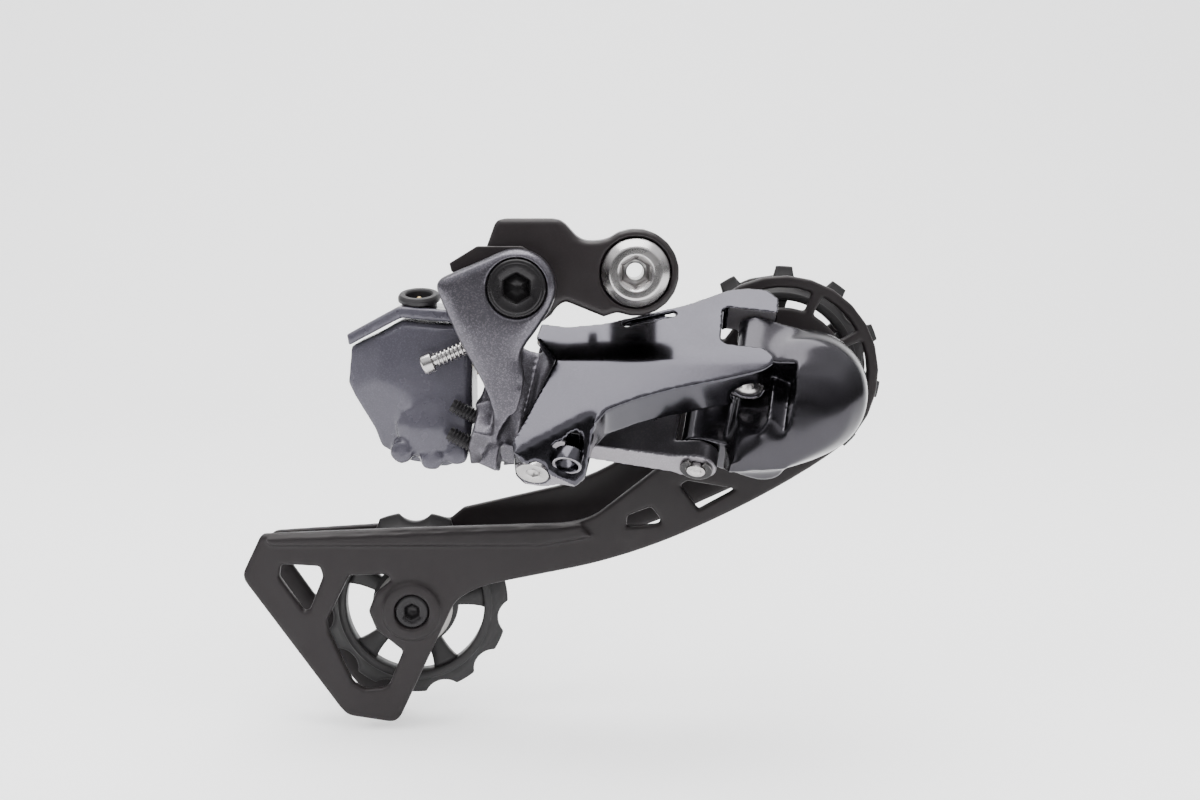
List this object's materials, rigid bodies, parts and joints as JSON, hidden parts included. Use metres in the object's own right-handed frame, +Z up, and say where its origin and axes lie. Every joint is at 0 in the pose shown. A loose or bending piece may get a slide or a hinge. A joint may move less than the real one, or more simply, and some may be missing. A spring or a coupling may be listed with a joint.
{
  "type": "rear derailleur",
  "caption": "Electric rear derailleur: slanted parallelogram links between a hanger bracket and a sprung cage with toothed chain pulleys.",
  "frame": {"origin": "on the fixing bolt's axis, in the bracket face that rests on the frame's hanger", "axes": "+X towards the front of the bicycle, +Y inboard towards the wheel, +Z up"},
  "size_m": [0.1392, 0.0534, 0.111],
  "materials": {
    "satin_black": "warm black satin anodised aluminium",
    "satin_grey": "metallic grey painted aluminium",
    "gloss_grey": "glossy anthracite anodised aluminium",
    "steel": "bright turned steel",
    "black_steel": "black oxide steel",
    "grey_plastic": "semi-gloss dark grey moulded plastic",
    "dark_plastic": "matt black moulded plastic",
    "brass": "plain turned brass",
    "board": "green circuit board"
  },
  "bodies": {
    "bracket": {"bracket_link": "satin_black", "fixing_bolt": "steel", "b_axle_bolt": "black_steel", "b_axle_bush": "brass", "stop_plate": "black_steel"},
    "b_body": {"b_member": "satin_grey", "motor_case": "grey_plastic", "motor_cover": "grey_plastic", "top_lid": "grey_plastic", "connector_port": "dark_plastic", "port_contact": "brass", "motor_can": "steel", "control_board": "board", "cover_screw_1": "steel", "cover_screw_2": "steel", "cover_screw_3": "steel"},
    "outer_arm": {"outer_link": "gloss_grey", "pin_outer_b": "steel", "pin_outer_p": "brass"},
    "inner_arm": {"inner_link": "satin_black", "pin_inner_b": "steel", "pin_inner_p": "steel", "pin_snap_ring": "steel", "drive_sector": "steel"},
    "pinion": {"drive_pinion": "brass"},
    "p_body": {"p_member": "gloss_grey", "p_spring": "steel", "spring_seal": "dark_plastic"},
    "cage": {"cage_outer_plate": "satin_black", "cage_inner_plate": "satin_black", "cage_stop_pin": "steel", "p_axle": "steel", "guide_bush": "steel", "tension_bush": "steel", "guide_bolt": "black_steel", "tension_bolt": "black_steel", "guide_cap_outer": "dark_plastic", "guide_cap_inner": "dark_plastic", "tension_cap_outer": "dark_plastic", "tension_cap_inner": "dark_plastic"},
    "guide_wheel": {"guide_pulley": "dark_plastic"},
    "tension_wheel": {"tension_pulley": "dark_plastic"},
    "b_screw": {"b_tension_screw": "steel"},
    "upper_screw": {"limit_screw_upper": "black_steel"},
    "lower_screw": {"limit_screw_lower": "black_steel"}
  },
  "joints": [
    {"name": "b_pivot", "type": "hinge", "parent": "bracket", "child": "b_body", "pos_m": [-0.0228, 0, -0.0026], "axis": [0, 1, 0], "range_deg": [0, 25]},
    {"name": "shift", "type": "hinge", "parent": "b_body", "child": "outer_arm", "pos_m": [-0.0197, -0.0135, -0.0371], "axis": [0.1736, 0.6716, 0.7202], "range_deg": [-14, 50]},
    {"name": "inner_link_pivot", "type": "hinge", "parent": "b_body", "child": "inner_arm", "pos_m": [-0.02748, -0.00379, -0.04428], "axis": [0.1736, 0.6716, 0.7202], "range_deg": [-15, 51]},
    {"name": "pinion_spin", "type": "hinge", "parent": "b_body", "child": "pinion", "pos_m": [-0.03851, -0.00246, -0.04286], "axis": [0.1736, 0.6716, 0.7202], "range_deg": [-127, 37]},
    {"name": "p_pivot", "type": "hinge", "parent": "outer_arm", "child": "p_body", "pos_m": [0.01812, -0.01805, -0.04198], "axis": [0.1736, 0.6716, 0.7202], "range_deg": [-51, 15]},
    {"name": "cage_pivot", "type": "hinge", "parent": "p_body", "child": "cage", "pos_m": [0.0375, 0, -0.028], "axis": [0, -1, 0], "range_deg": [0, 95], "stiffness_Nm_per_rad": 0.2, "springref_deg": -68.75},
    {"name": "guide_spin", "type": "hinge", "parent": "cage", "child": "guide_wheel", "pos_m": [0.032, 0.028, -0.023], "axis": [0, 1, 0], "continuous": true},
    {"name": "tension_spin", "type": "hinge", "parent": "cage", "child": "tension_wheel", "pos_m": [-0.048, 0.028, -0.0754], "axis": [0, 1, 0], "continuous": true},
    {"name": "b_screw_travel", "type": "slide", "parent": "b_body", "child": "b_screw", "axis": [0.9205, 0, 0.3907], "range_m": [-0.003, 0]},
    {"name": "upper_screw_travel", "type": "slide", "parent": "b_body", "child": "upper_screw", "axis": [0.891, 0, -0.454], "range_m": [-0.003, 0]},
    {"name": "lower_screw_travel", "type": "slide", "parent": "b_body", "child": "lower_screw", "axis": [0.891, 0, -0.454], "range_m": [-0.003, 0]}
  ],
  "couplings": [
    {"joint": "inner_link_pivot", "follows": "shift", "ratio": 1},
    {"joint": "pinion_spin", "follows": "shift", "ratio": -2.5},
    {"joint": "p_pivot", "follows": "shift", "ratio": -1}
  ]
}
